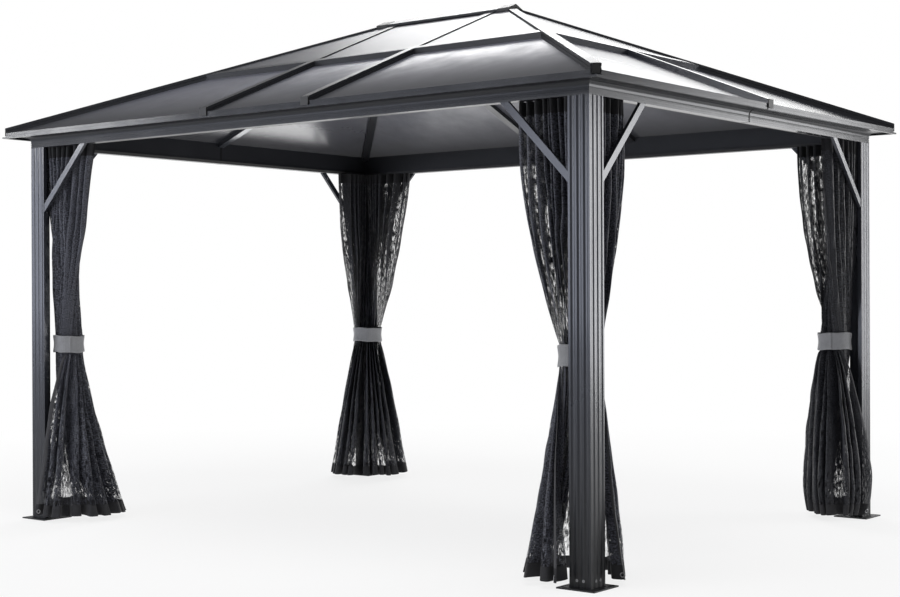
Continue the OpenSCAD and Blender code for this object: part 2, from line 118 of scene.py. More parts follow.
def length(name, text, value):
    return number(name, text, value, min=0.0, unit="LENGTH")


def watts(name, text, value):
    return number(name, text, value, min=0.0, unit="POWER")


def fraction(name, text, value, low=0.0, high=1.0):
    return number(name, text, value, min=low, max=high, subtype="FACTOR")


def colour(name, text, value):
    return FloatVectorProperty(
        name=name, description=text, default=value, subtype="COLOR", size=3, min=0.0, max=1.0
    )


class FinishSettings(bpy.types.PropertyGroup):
    """Colours of the frame, the roof and the fittings."""

    metal: colour("Metal", "Powder coat of the frame", (0.037, 0.040, 0.050))
    # darker copy of the frame's coat: painted shade on the rails, headers and trims, which wear the same
    # paint as the posts
    rail: colour("Rails", "Powder coat of the roof rails", (0.024, 0.025, 0.029))
    panel: colour("Lower panels", "Smoked sheet of the lower roof panels", (0.043, 0.044, 0.055))
    # lighter than the lower panels' tone: painted reflection on the upper panels of the same sheet
    upper_panel: colour("Upper panels", "Smoked sheet of the upper roof panels", (0.056, 0.057, 0.068))
    plastic: colour("Plastic", "End caps and curtain tracks", (0.012, 0.012, 0.013))
    fastener: colour("Fasteners", "Screws and eyelets", (0.24, 0.24, 0.25))
    panel_alpha: fraction("Panel cover", "Share of light that the smoked sheet stops", 0.86)


class NetSettings(bpy.types.PropertyGroup):
    """Sizes and colours of the nets and their ties."""

    width: length("Net width", "Width of a net laid flat", 2.9)
    pleats: IntProperty(name="Pleats", description="Folds across a net", default=15, min=6, max=30)
    band: length("Header band", "Height of the closed band at the top and the hem", 0.058)
    tape: length("Edge tape", "Width of the tape down both edges", 0.026)
    thread_pitch: length("Thread pitch", "Distance between the threads of the net", 0.0055)
    thread_share: fraction("Thread share", "Share of the pitch that a thread covers", 0.66, 0.1, 0.9)
    net: colour("Net", "Threads of the net", (0.0094, 0.0098, 0.0124))
    cloth: colour("Band", "Closed band of the header and hem", (0.0095, 0.0095, 0.0120))
    edge: colour("Edge", "Tape down the edges", (0.045, 0.045, 0.050))
    tie: colour("Tie", "Webbing of the tie bands", (0.215, 0.218, 0.230))
    thread: colour("Sewing thread", "Stitches of the tie bands", (0.34, 0.34, 0.35))
    tie_overlap: length("Tie overlap", "Length of the closing lap of a tie", 0.060)
    tie_thickness: length("Tie thickness", "Thickness of the tie webbing", 0.0022)


class FittingSettings(bpy.types.PropertyGroup):
    """Sizes of the small fittings."""

    screw_radius: length("Screw head", "Radius of a screw head", 0.0045)
    screw_height: length("Screw height", "Height of a screw head", 0.0025)
    ring_radius: length("Eyelet", "Radius of an eyelet ring", 0.0085)
    ring_wire: length("Eyelet rim", "Radius of the rim of an eyelet", 0.0026)
    hook_radius: length("Hook", "Radius of the eye of a net hook", 0.0070)
    hook_wire: length("Hook wire", "Radius of the wire of a net hook", 0.0014)
    stitch_length: length("Stitch", "Length of a stitch of the tie bands", 0.0050)
    stitch_width: length("Stitch width", "Width of a stitch of the tie bands", 0.0012)


class StudioSettings(bpy.types.PropertyGroup):
    """Camera, lamps and floor."""

    lens: number("Lens", "Focal length", 64.02, min=1.0, unit="CAMERA")
    shift_x: number("Shift X", "Sideways shift of the picture", 0.0175)
    shift_y: number("Shift Y", "Upward shift of the picture", 0.0024)
    eye: FloatVectorProperty(
        name="Eye", description="Place of the camera", subtype="XYZ", default=(5.182, -6.653, 1.157)
    )
    yaw: number("Yaw", "Turn to the left", 0.6710, subtype="ANGLE")
    pitch: number("Pitch", "Tilt upwards", -0.0020, subtype="ANGLE")
    roll: number("Roll", "Lean of the camera", -0.0044, subtype="ANGLE")
    side_watts: watts("Side lamp", "Power of the side lamp", 185.0)
    back_watts: watts("Back lamp", "Power of the back lamp", 125.0)
    slope_watts: watts("Slope lamp", "Power of the high lamp behind the ridge", 330.0)
    top_watts: watts("Top lamp", "Power of the top lamp", 260.0)
    rail_watts: watts("Rail lamp", "Power of the high lamp in front", 90.0)
    under_watts: watts("Under lamp", "Power of the low lamp behind", 55.0)
    fill_watts: watts("Fill lamp", "Power of the fill lamp", 215.0)
    eave_watts: watts("Eave lamp", "Power of the lamp that the front eave reflects on the left", 62.0)
    overhead: number("Overhead", "Level of the sky above the bright horizon", 0.20, min=0.0)
    room: number("Room", "Level of the room beside the backdrop", 0.28, min=0.0)
    floor: colour("Floor", "Pale floor", (0.82, 0.82, 0.82))


# Node trees

class NodeKit:
    """Adds and links the nodes of one tree."""

    def __init__(self, tree):
        self.tree = tree

    def put(self, socket, value):
        """Links a socket to an output, or gives it a plain value."""
        if isinstance(value, bpy.types.NodeSocket):
            self.tree.links.new(value, socket)
        else:
            socket.default_value = value

    def node(self, kind, inputs, **options):
        made = self.tree.nodes.new(kind)
        for name, value in options.items():
            setattr(made, name, value)
        for name, value in inputs.items():
            self.put(made.inputs[name], value)
        return made

    def math(self, operation, *values):
        return self.node("ShaderNodeMath", dict(enumerate(values)), operation=operation).outputs[0]

    def measure(self, operation, *vectors):
        made = self.node("ShaderNodeVectorMath", dict(enumerate(vectors)), operation=operation)
        return made.outputs["Value"]

    def axis(self, place, name):
        return self.node("ShaderNodeSeparateXYZ", {"Vector": place}).outputs[name]

    def range(self, value, low, high, to_low, to_high, smooth=False):
        sockets = {"Value": value, "From Min": low, "From Max": high, "To Min": to_low, "To Max": to_high}
        kind = "SMOOTHSTEP" if smooth else "LINEAR"
        return self.node("ShaderNodeMapRange", sockets, interpolation_type=kind).outputs["Result"]


class Shader(NodeKit):
    """Nodes of one material, on Object coordinates or on the piece's own map."""

    def __init__(self, name, uv=False):
        self.material = bpy.data.materials.new(name)
        self.material.use_nodes = True
        super().__init__(self.material.node_tree)
        self.principled = self.tree.nodes["Principled BSDF"]
        self.place = self.node("ShaderNodeTexCoord", {}).outputs["UV" if uv else "Object"]

    def stretched(self, scales):
        return self.node("ShaderNodeMapping", {"Vector": self.place, "Scale": scales}).outputs["Vector"]

    def noise(self, scale, detail, roughness=0.5, stretch=None):
        place = self.stretched(stretch) if stretch else self.place
        sockets = {"Vector": place, "Scale": scale, "Detail": detail, "Roughness": roughness}
        return self.node("ShaderNodeTexNoise", sockets).outputs["Fac"]

    def attribute(self, name):
        made = self.node("ShaderNodeAttribute", {}, attribute_type="GEOMETRY", attribute_name=name)
        return made.outputs["Fac"]

    def mix(self, factor, first, second):
        return self.node("ShaderNodeMix", {0: factor, 6: first, 7: second}, data_type="RGBA").outputs[2]

    def bump(self, height, distance, strength, below=None):
        sockets = {"Height": height, "Distance": distance, "Strength": strength}
        if below is not None:
            sockets["Normal"] = below
        return self.node("ShaderNodeBump", sockets).outputs["Normal"]

    def finish(self, inputs):
        for name, value in inputs.items():
            self.put(self.principled.inputs[name], value)
        return self.material


def shade(tone, factor):
    """The tone, made lighter or darker, as a socket takes it."""
    return (*(min(1.0, channel * factor) for channel in tone), 1.0)


# Materials

# height up to which painted shade darkens the frame towards the floor
SHADE_TOP = 1.15
# distances from a joint at which its painted shadow begins to thin, and at which it ends
SHADOW_FULL, SHADOW_END = 0.003, 0.007
PLASTIC_IOR = 1.52


def joint_place(name):
    """Place along Y at which the two lengths of a header or trim meet."""
    across = (vertex.co.y for vertex in NODES[name].data.vertices)
    ends = {round(y, 4) for y in across if abs(y) < JOINT_REACH}
    return sum(ends) / len(ends)


def powder_coat(name, tone, gloss, shine=0.5, joint=None):
    """Satin powder coat: speckle, orange peel, painted shade that darkens it in patches towards the
    floor, and a painted shadow at a joint.
    """
    coat = Shader(name)
    speckle = coat.range(coat.noise(900.0, 2.0), 0.3, 0.7, 0.0, 1.0)
    cloud = coat.range(coat.noise(5.0, 4.0), 0.3, 0.7, 0.0, 1.0)
    fine = coat.mix(speckle, shade(tone, 0.86), shade(tone, 1.18))
    cloudy = coat.mix(cloud, shade(tone, 0.90), shade(tone, 1.08))
    # painted shade: the coat darkens in patches towards the floor and grows matt there
    floor_shade = coat.range(coat.axis(coat.place, "Z"), 0.0, SHADE_TOP, 0.95, 0.0, smooth=True)
    darkening = coat.math("MULTIPLY", floor_shade, coat.range(coat.noise(38.0, 5.0), 0.3, 0.7, 0.88, 1.0))
    body = coat.mix(darkening, coat.mix(0.5, fine, cloudy), shade(tone, 0.10))
    rough = coat.math("ADD", coat.range(cloud, 0.0, 1.0, *gloss), coat.math("MULTIPLY", darkening, 0.30))
    if joint is not None:
        # painted shadow of the gap where the two lengths meet: darker and matt close to the joint
        gap = coat.math("ABSOLUTE", coat.math("SUBTRACT", coat.axis(coat.place, "Y"), joint))
        joint_shadow = coat.range(gap, SHADOW_FULL, SHADOW_END, 1.0, 0.0, smooth=True)
        body = coat.mix(joint_shadow, body, shade(tone, 0.05))
        rough = coat.math("MAXIMUM", rough, coat.math("MULTIPLY", joint_shadow, 0.9))
    return coat.finish({
        "Base Color": body,
        "Roughness": rough,
        "Metallic": 0.25,
        "IOR": PLASTIC_IOR,
        "Specular IOR Level": shine,
        "Normal": coat.bump(coat.noise(420.0, 2.0), 0.0004, 0.25),
    })


class Sheet(NamedTuple):
    """One finish of the smoked roof sheet."""

    name: str
    nodes: list
    # lift paints a reflection into the sheet's colour
    lift: float  # how many times lighter than its tone it is at the top, and darker at the bottom
    haze: tuple  # roughness at the bottom and at the top


LOWER_SHEETS = (
    Sheet("smoked_sheet_lower", named(LONG_SIDES, "lower_panels"), 2.3, (0.95, 0.37)),
    Sheet("smoked_sheet_side", named(SHORT_SIDES, "lower_panels"), 1.8, (0.24, 0.30)),
)
UPPER_SHEETS = (
    Sheet("smoked_sheet_upper", named(LONG_SIDES, "upper_panels"), 1.2, (0.42, 0.36)),
    Sheet("smoked_sheet_side_upper", named(SHORT_SIDES, "upper_panel"), 1.2, (0.26, 0.30)),
)


def smoked_sheet(sheet, tone, alpha, low, high):
    """Smoked roof sheet: a painted reflection, darker at its lower edge and lighter at its top in uneven
    patches, with a haze that changes along it and a slight wave.
    """
    smoke = Shader(sheet.name)
    rise = smoke.range(smoke.axis(smoke.place, "Z"), low, high, 0.0, 1.0, smooth=True)
    patchy = smoke.range(smoke.noise(7.0, 6.0, 0.62), 0.25, 0.75, 0.75, 1.15)
    reflection_and_haze = smoke.math("MULTIPLY", rise, patchy)
    wavy = smoke.bump(smoke.noise(1.6, 1.0), 0.02, 0.03)
    return smoke.finish({
        # painted reflection: the tone darker at the lower edge and lighter towards the top
        "Base Color": smoke.mix(reflection_and_haze, shade(tone, 1.0 / sheet.lift), shade(tone, sheet.lift)),
        "Roughness": smoke.range(reflection_and_haze, 0.0, 1.0, *sheet.haze),
        "IOR": PLASTIC_IOR,
        "Alpha": alpha,
        "Normal": smoke.bump(smoke.noise(160.0, 2.0), 0.0003, 0.05, wavy),
    })


def moulded_plastic(tone):
    """Black moulded plastic with a fine grain."""
    plastic = Shader("moulded_plastic")
    grain = plastic.noise(650.0, 3.0)
    return plastic.finish({
        "Base Color": plastic.mix(plastic.noise(30.0, 4.0), shade(tone, 0.75), shade(tone, 1.5)),
        "Roughness": plastic.range(grain, 0.2, 0.8, 0.42, 0.58),
        "Normal": plastic.bump(grain, 0.0004, 0.35),
    })


def bright_metal(tone):
    """Plated steel with fine handling marks."""
    steel = Shader("plated_steel")
    marks = steel.noise(260.0, 4.0)
    return steel.finish({
        "Base Color": steel.mix(marks, shade(tone, 0.80), shade(tone, 1.15)),
        "Roughness": steel.range(marks, 0.2, 0.8, 0.24, 0.42),
        "Metallic": 1.0,
    })


def thread_mask(cloth, axis, pitch, share):
    """1 on a thread that runs across the axis, 0 in the hole beside it."""
    turns = cloth.math("MULTIPLY", cloth.axis(cloth.place, axis), 1.0 / pitch)
    return cloth.math("LESS_THAN", cloth.math("FRACT", turns), share)


def net_mesh(settings):
    """Open net of crossing threads, crowded in some places and drawn apart in others."""
    cloth = Shader("net_mesh", uv=True)
    grain = cloth.range(cloth.noise(1.0, 2.0, stretch=(90.0, 34.0, 1.0)), 0.34, 0.62, -0.50, 0.34)
    patch = cloth.range(cloth.noise(1.0, 3.0, stretch=(11.0, 4.0, 1.0)), 0.35, 0.65, -0.14, 0.16)
    loose = cloth.math("ADD", cloth.math("ADD", grain, patch), cloth.attribute("cover"))
    share = cloth.math("ADD", loose, settings.thread_share)
    threads = [thread_mask(cloth, axis, settings.thread_pitch, share) for axis in "XY"]
    # painted glints: bright specks up to eleven times the thread tone, in place of light caught by the
    # threads
    glint = cloth.range(cloth.noise(1.0, 3.0, stretch=(130.0, 150.0, 1.0)), 0.40, 0.68, 0.0, 1.0)
    lit_glint = cloth.math("MULTIPLY", glint, cloth.attribute("fade"))
    creased = cloth.bump(cloth.noise(20.0, 4.0), 0.006, 0.6)
    crinkle = cloth.noise(1.0, 3.0, stretch=(14.0, 60.0, 1.0))
    return cloth.finish({
        "Base Color": cloth.mix(lit_glint, shade(settings.net, 0.45), shade(settings.net, 11.0)),
        "Alpha": cloth.math("MAXIMUM", *threads),
        "Roughness": 0.46,
        "Specular IOR Level": 0.30,
        "Sheen Weight": 0.02,
        "Sheen Roughness": 0.45,
        "Normal": cloth.bump(crinkle, 0.003, 0.6, creased),
    })


def woven_cloth(name, tone, pitch, contrast, sheen=0.3):
    """Close plain weave on the piece's own map."""
    cloth = Shader(name, uv=True)
    turns = [cloth.math("MULTIPLY", cloth.axis(cloth.place, axis), TAU / pitch) for axis in "XY"]
    warp, weft = (cloth.math("SINE", turn) for turn in turns)
    weave = cloth.range(cloth.math("MULTIPLY", warp, weft), -1.0, 1.0, 0.0, 1.0)
    threads = cloth.mix(weave, shade(tone, 1.0 - contrast), shade(tone, 1.0 + contrast))
    darkening = cloth.range(cloth.noise(40.0, 5.0), 0.35, 0.75, 0.0, 0.35)
    creased = cloth.bump(cloth.noise(22.0, 4.0), 0.004, 0.4)
    return cloth.finish({
        "Base Color": cloth.mix(darkening, threads, shade(tone, 0.62)),
        "Roughness": 0.85,
        "Sheen Weight": sheen,
        "Sheen Roughness": 0.5,
        "Normal": cloth.bump(weave, 0.0006, 0.5, creased),
    })


def dress(nodes, material):
    for name in nodes:
        mesh = NODES[name].data
        mesh.materials.clear()
        mesh.materials.append(material)


# Nets

# distances in from the outer post faces to the track and to the middle of the tied bundle
NET_LINE, TIE_LINE = 0.068, 0.135
# radius of the track's bend
NET_BEND = 0.05
# wall of a post, and what a net keeps clear of it
POST_WALL, CLEAR = 0.020, 0.003
# outline of a flared hem round the middle of the bundle: direction in degrees, reach
HEM_TURNS = (-94.0, -60.0, -15.0, 105.0, 150.0, 184.0)
HEM_REACH = (0.235, 0.238, 0.262, 0.262, 0.238, 0.235)
# height over the hem at which the second value of a net's cover holds
COVER_MARK = 0.30
ROWS_ABOVE, ROWS_TIE, ROWS_BELOW, ROWS_BAND = 52, 6, 48, 4
COLUMNS_PER_PLEAT = 18
# first seed of the nets and of the ties; each corner takes the next one
NET_SEED, TIE_SEED = 11, 31
# share of a net's width over which its folds grow flat towards an edge
FLAT_EDGE = 0.16
# sideways swing of the folds: at the track in pleats, at the hem in metres
TRACK_NECK, HEM_NECK = 0.085, 0.010
# powers that fill out the folds at the track and sharpen those at the hem
CREST, TUCK = 0.75, 1.6
# most that a fold dips in at the hem, and the least reach that it keeps, as shares of the outline
MOST_DIP, LEAST_REACH = 0.9, 0.12
# how much later the tucks spread below the tie, and the powers of the hem's gather and lift
TUCK_DELAY, GATHER_POWER, LIFT_POWER = 1.2, 7, 3
# depth of the cloth's wide waves and of its creases
BILLOW, CRINKLE = 0.022, 0.010
# largest scale of the fold depth that is tried, and the number of halvings
MOST_DEPTH, DEPTH_STEPS = 4.0, 28


class Hang(NamedTuple):
    """How one net hangs."""

    reach: tuple  # along its X track and its Y track
    tie: float  # radius of the tied bundle
    draw: float  # power with which it is drawn in above the tie
    flare: tuple  # power with which its first edge, middle and other edge spread below the tie
    swell_turn: float  # direction in which the hem swells or shrinks
    swell: float  # share by which it does
    gather: float  # share by which the hem itself is drawn in again
    lap: float  # direction in which the tie closes
    cover: tuple  # what the threads cover more or less: hem, over it, under the tie, over the tie, top
    fade: tuple  # painted light: how much lighter its glints are at the hem and at the top, more on the lit front nets and less on the shaded back nets


HANGS = {
    "front_left": Hang(
        reach=(0.430, 0.350), tie=0.074, draw=1.00, flare=(0.60, 1.25, 1.25),
        swell_turn=38.0, swell=0.20, gather=0.0, lap=-30.0,
        cover=(-0.46, -0.10, -0.04, 0.02, 0.0), fade=(0.70, 1.80),
    ),
    "front_right": Hang(
        reach=(0.385, 0.345), tie=0.086, draw=2.40, flare=(0.95, 0.95, 0.95),
        swell_turn=141.0, swell=-0.22, gather=0.0, lap=-60.0,
        cover=(-0.46, 0.02, 0.12, 0.10, 0.08), fade=(1.10, 1.60),
    ),
    "back_left": Hang(
        reach=(0.440, 0.340), tie=0.086, draw=1.35, flare=(0.80, 0.80, 0.80),
        swell_turn=-38.0, swell=0.10, gather=0.0, lap=56.0,
        cover=(-0.36, 0.04, 0.06, 0.02, -0.04), fade=(0.55, 0.30),
    ),
    "back_right": Hang(
        reach=(0.370, 0.400), tie=0.080, draw=1.80, flare=(0.50, 0.50, 0.62),
        swell_turn=38.0, swell=-0.36, gather=0.30, lap=104.0,
        cover=(-0.20, 0.06, 0.08, -0.02, -0.02), fade=(0.34, 0.40),
    ),
}


def track_line(shares, reach):
    """Points and inward normals along a corner's tracks, and the length of their line."""
    first, second = (leg - NET_LINE - NET_BEND for leg in reach)
    bend = NET_BEND * math.pi / 2
    total = first + second + bend
    run = shares * total
    turn = np.clip((run - first) / NET_BEND, 0.0, math.pi / 2)
    normals = np.stack([np.sin(turn), np.cos(turn)], axis=1)
    straight = np.stack([first - run, run - first - bend], axis=1)
    points = NET_LINE + NET_BEND * (1 - normals) + np.maximum(straight, 0.0)
    return points, normals, total


def fit_depth(section, width):
    """Scales the fold depth of a section until the cloth in it is as wide as the net."""
    low, high = 0.0, MOST_DEPTH
    for _ in range(DEPTH_STEPS):
        middle = (low + high) / 2
        if np.linalg.norm(np.diff(section(middle), axis=0), axis=1).sum() < width:
            low = middle
        else:
            high = middle
    return section((low + high) / 2)


class NetFolds:
    """Fold pattern of one net: the same pleats at the track, at the tie and at the hem."""

    def __init__(self, settings, corner, seed):
        draw = random.Random(seed)
        self.hang = HANGS[corner]
        self.width = settings.width
        self.pleats = settings.pleats
        self.share = np.linspace(0.0, 1.0, settings.pleats * COLUMNS_PER_PLEAT + 1)
        parts = np.array([0.40 + 1.5 * draw.random() ** 2 for _ in range(settings.pleats)])
        ends = np.concatenate([[0.0], np.cumsum(parts)]) / parts.sum()
        self.phase = np.interp(self.share, ends, np.arange(settings.pleats + 1)) * TAU
        full = np.clip(np.minimum(self.share, 1 - self.share) / FLAT_EDGE, 0.0, 1.0)
        self.depth = self.uneven(draw, 0.70, 1.12) * (0.30 + 0.70 * full)
        self.hem_depth = self.uneven(draw, 0.45, 1.30)
        self.hem_tip = self.uneven(draw, 0.88, 1.02)
        self.hem_lift = self.uneven(draw, 0.0, 0.010)
        self.billows = self.wave_set(draw, 6, (1.0, 4.0), (0.3, 1.1))
        self.crinkles = self.wave_set(draw, 8, (9.0, 26.0), (2.0, 6.0))

    def uneven(self, draw, low, high):
        """Smooth random values across the net, one for each half pleat."""
        knots = np.linspace(0.0, 1.0, 2 * self.pleats + 1)
        return np.interp(self.share, knots, [draw.uniform(low, high) for _ in knots])

    def wave_set(self, draw, count, across, along):
        """Waves, each with its number across the net, its number in a metre of height and two starts."""
        limits = (across, along, (0.0, TAU), (0.0, TAU))
        return [tuple(draw.uniform(*limit) for limit in limits) for _ in range(count)]

    def at_track(self):
        points, normals, total = track_line(self.share, self.hang.reach)
        pitch = total / self.pleats
        necks = swung(normals, TRACK_NECK * pitch * np.sin(2 * self.phase))
        wave = np.cos(self.phase)
        crest = np.sign(wave) * np.abs(wave) ** CREST

        def section(scale):
            side = scale * self.depth * pitch * crest
            return points + normals * side[:, None] + necks

        return fit_depth(section, self.width)

    def at_tie(self):
        """Folds packed into the round of the tie."""
        spread = self.hang.tie * np.cos(np.pi * self.share)
        room = np.sqrt(np.maximum(self.hang.tie**2 - spread**2, 1e-6))
        across = np.array([1.0, -1.0]) / math.sqrt(2)
        inward = np.array([1.0, 1.0]) / math.sqrt(2)
        side = np.clip(room * np.maximum(self.depth, 0.7) * np.cos(self.phase), -room, room)
        return TIE_LINE + spread[:, None] * across + side[:, None] * inward

    def at_hem(self):
        """Fan of folds round the bundle, open towards the post."""
        turns = HEM_TURNS[0] + (HEM_TURNS[-1] - HEM_TURNS[0]) * self.share
        facing = np.maximum(np.cos(np.radians(turns - self.hang.swell_turn)), 0.0) ** 2
        outline = np.interp(turns, HEM_TURNS, HEM_REACH) * (1 + self.hang.swell * facing) * self.hem_tip
        angles = np.radians(turns)
        ways = np.stack([np.cos(angles), np.sin(angles)], axis=1)
        necks = swung(ways, HEM_NECK * np.sin(2 * self.phase))
        tuck = (0.5 * (1 - np.cos(self.phase))) ** TUCK

        def section(scale):
            dip = np.minimum(scale * self.hem_depth * 0.5, MOST_DIP) * tuck
            reach = outline * np.maximum(1 - dip, LEAST_REACH)
            return TIE_LINE + ways * reach[:, None] + necks

        return fit_depth(section, self.width)

    def rippled(self, waves, height):
        """Waves of the cloth at one height, as distances along both sides."""
        sides = np.zeros((len(self.share), 2))
        for across, along, start, other in waves:
            sides[:, 0] += np.sin(TAU * (across * self.share + along * height) + start)
            sides[:, 1] += np.sin(TAU * (across * self.share - along * height) + other)
        return sides / len(waves)


def swung(ways, neck):
    """Sideways swing of folds, square to their ways."""
    return np.stack([-ways[:, 1], ways[:, 0]], axis=1) * neck[:, None]


def clear_of_post(plan):
    """Moves points out of the legs of the post by the shorter way."""
    wall, edge = POST_WALL + CLEAR, POST_LEG + CLEAR
    moved = plan.copy()
    for deep, along in ((1, 0), (0, 1)):
        inside = (moved[:, deep] < wall) & (moved[:, deep] > -CLEAR) & (moved[:, along] < edge)
        inward = inside & (wall - moved[:, deep] <= edge - moved[:, along])
        moved[inward, deep] = wall
        moved[inside & ~inward, along] = edge
    return moved


def net_rows(band):
    """Heights of the rows of a net from the track to the hem."""
    stops = (NET_HIGH, NET_HIGH - band, TIE_HIGH, TIE_LOW, NET_LOW + band, NET_LOW)
    counts = (ROWS_BAND, ROWS_ABOVE, ROWS_TIE, ROWS_BELOW, ROWS_BAND)
    runs = [np.linspace(top, low, count)[1:] for top, low, count in zip(stops, stops[1:], counts)]
    return np.concatenate([[NET_HIGH], *runs])


def net_points(folds, heights):
    """Corner distances and heights of every point of a net, row by row."""
    track, tie, hem = folds.at_track(), folds.at_tie(), folds.at_hem()
    tucked = 0.5 * (1 - np.cos(folds.phase))
    flare = np.interp(folds.share, (0.0, 0.5, 1.0), folds.hang.flare)
    grid = np.zeros((len(heights), len(folds.share), 3))
    for row, z in enumerate(heights):
        if z >= TIE_HIGH:
            down = (NET_HIGH - z) / (NET_HIGH - TIE_HIGH)
            drawn = down**folds.hang.draw
            plan = track * (1 - drawn) + tie * drawn
            loose = 4 * down * (1 - down)
            crease = loose * down
        elif z > TIE_LOW:
            plan = tie
            loose, crease = 0.0, 0.0
        else:
            down = (TIE_LOW - z) / (TIE_LOW - NET_LOW)
            drawn = 1 - folds.hang.gather * down**GATHER_POWER
            spread = (down ** (flare * (1 + TUCK_DELAY * tucked)) * drawn)[:, None]
            plan = tie * (1 - spread) + hem * spread
            loose = down
            crease = 2 * down * (1 - down)
        plan = plan + folds.rippled(folds.billows, z) * BILLOW * loose
        plan = plan + folds.rippled(folds.crinkles, z) * CRINKLE * crease
        grid[row, :, :2] = clear_of_post(plan)
        grid[row, :, 2] = z
    fall = np.clip((TIE_LOW - grid[:, :, 2]) / (TIE_LOW - NET_LOW), 0.0, 1.0) ** LIFT_POWER
    grid[:, :, 2] += fall * folds.hem_lift[None, :]
    return grid


def corner_to_world(corner, points):
    """Distances in from the outer post faces, and heights, as places in the frame."""
    side_x, side_y = CORNERS[corner]
    placed = np.array(points, float)
    placed[..., 0] = side_x * (HALF_X - placed[..., 0])
    placed[..., 1] = side_y * (HALF_Y - placed[..., 1])
    return placed


def sheet_mesh(name, corner, grid, across, down):
    """Mesh of a corner's grid of points, with its flat distances across and down as UV map."""
    rows, columns = grid.shape[:2]
    index = np.arange(rows * columns).reshape(rows, columns)
    loops = (index[:-1, :-1], index[1:, :-1], index[1:, 1:], index[:-1, 1:])
    faces = np.stack(loops, axis=-1).reshape(-1, 4)
    mesh = bpy.data.meshes.new(name)
    mesh.from_pydata(corner_to_world(corner, grid).reshape(-1, 3).tolist(), [], faces.tolist())
    uv = np.stack(np.meshgrid(across, down), axis=-1).reshape(-1, 2)
    mesh.uv_layers.new(name="UVMap").data.foreach_set("uv", uv[faces.ravel()].astype(np.float32).ravel())
    mesh.polygons.foreach_set("use_smooth", np.ones(len(faces), bool))
    mesh.update()
    return mesh


def near_edge(lines, margin):
    """Whether each strip between two lines of a sheet lies within a margin of its edges."""
    middles = (lines[:-1] + lines[1:]) / 2
    return np.minimum(middles, lines.max() - middles) < margin


def add_piece(name, mesh):
    piece = bpy.data.objects.new(name, mesh)
    bpy.context.scene.collection.objects.link(piece)
    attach(piece, BODY)
    return piece


# Fittings made with Geometry Nodes

# cross slot of a screw: length, width and depth of a bar
SLOT_LENGTH, SLOT_WIDTH, SLOT_DEPTH = 0.0090, 0.0013, 0.0024


class FittingTree(NodeKit):
    """Geometry node tree of one fitting, with named inputs for its sizes."""

    def __init__(self, name, *sizes):
        super().__init__(bpy.data.node_groups.new(name, "GeometryNodeTree"))
        face = self.tree.interface
        face.new_socket("Geometry", in_out="INPUT", socket_type="NodeSocketGeometry")
        for size in sizes:
            face.new_socket(size, in_out="INPUT", socket_type="NodeSocketFloat")
        face.new_socket("Geometry", in_out="OUTPUT", socket_type="NodeSocketGeometry")
        self.enter = self.node("NodeGroupInput", {})

    def size(self, name, factor=1.0):
        plain = self.enter.outputs[name]
        return plain if factor == 1.0 else self.math("MULTIPLY", plain, factor)

    def made(self, kind, inputs, **options):
        """First output of a new node of this kind."""
        return self.node(f"GeometryNode{kind}", inputs, **options).outputs[0]

    def vector(self, **parts):
        return self.node("ShaderNodeCombineXYZ", parts).outputs[0]

    def placed(self, geometry, **changes):
        return self.made("Transform", {"Geometry": geometry, **changes})

    def rod(self, radius, depth, vertices):
        return self.made("MeshCylinder", {"Radius": radius, "Depth": depth, "Vertices": vertices})

    def swept(self, path, radius, **inputs):
        """Tube along a path."""
        ring = self.made("CurvePrimitiveCircle", {"Radius": radius, "Resolution": 8})
        return self.made("CurveToMesh", {"Curve": path, "Profile Curve": ring, **inputs})

    def joined(self, *geometries):
        join = self.node("GeometryNodeJoinGeometry", {})
        for geometry in geometries:
            self.put(join.inputs["Geometry"], geometry)
        return join.outputs[0]

    def scatter(self, geometry, material):
        """One copy of the geometry on each point, turned by the point's own angles."""
        turn = self.made("InputNamedAttribute", {"Name": "turn"}, data_type="FLOAT_VECTOR")
        spots = {"Points": self.enter.outputs["Geometry"], "Instance": geometry, "Rotation": turn}
        real = self.made("RealizeInstances", {"Geometry": self.made("InstanceOnPoints", spots)})
        coated = self.made("SetMaterial", {"Geometry": real, "Material": material})
        self.node("NodeGroupOutput", {0: coated})
        return self.tree


def screw_tree(material):
    """Domed screw head with a cross slot, on a thin washer, with its flat side down."""
    tree = FittingTree("screw_head", "Radius", "Height")
    washer = tree.rod(tree.size("Radius", 1.35), tree.size("Height", 0.4), vertices=16)
    dome = tree.made("MeshUVSphere", {"Radius": tree.size("Radius"), "Segments": 14, "Rings": 8})
    flat = tree.placed(dome, Scale=(1.0, 1.0, 0.55))
    bars = [
        tree.made("MeshCube", {"Size": (*sides, SLOT_DEPTH)})
        for sides in ((SLOT_LENGTH, SLOT_WIDTH), (SLOT_WIDTH, SLOT_LENGTH))
    ]
    cross = tree.placed(tree.joined(*bars), Translation=tree.vector(Z=tree.size("Height")))
    head = tree.made("MeshBoolean", {"Mesh 1": flat, "Mesh 2": cross}, operation="DIFFERENCE")
    return tree.scatter(tree.joined(washer, head), material)


def ring_tree(material):
    """Eyelet ring that lies flat."""
    tree = FittingTree("eyelet_ring", "Radius", "Rim")
    path = tree.made("CurvePrimitiveCircle", {"Radius": tree.size("Radius"), "Resolution": 24})
    return tree.scatter(tree.swept(path, tree.size("Rim")), material)


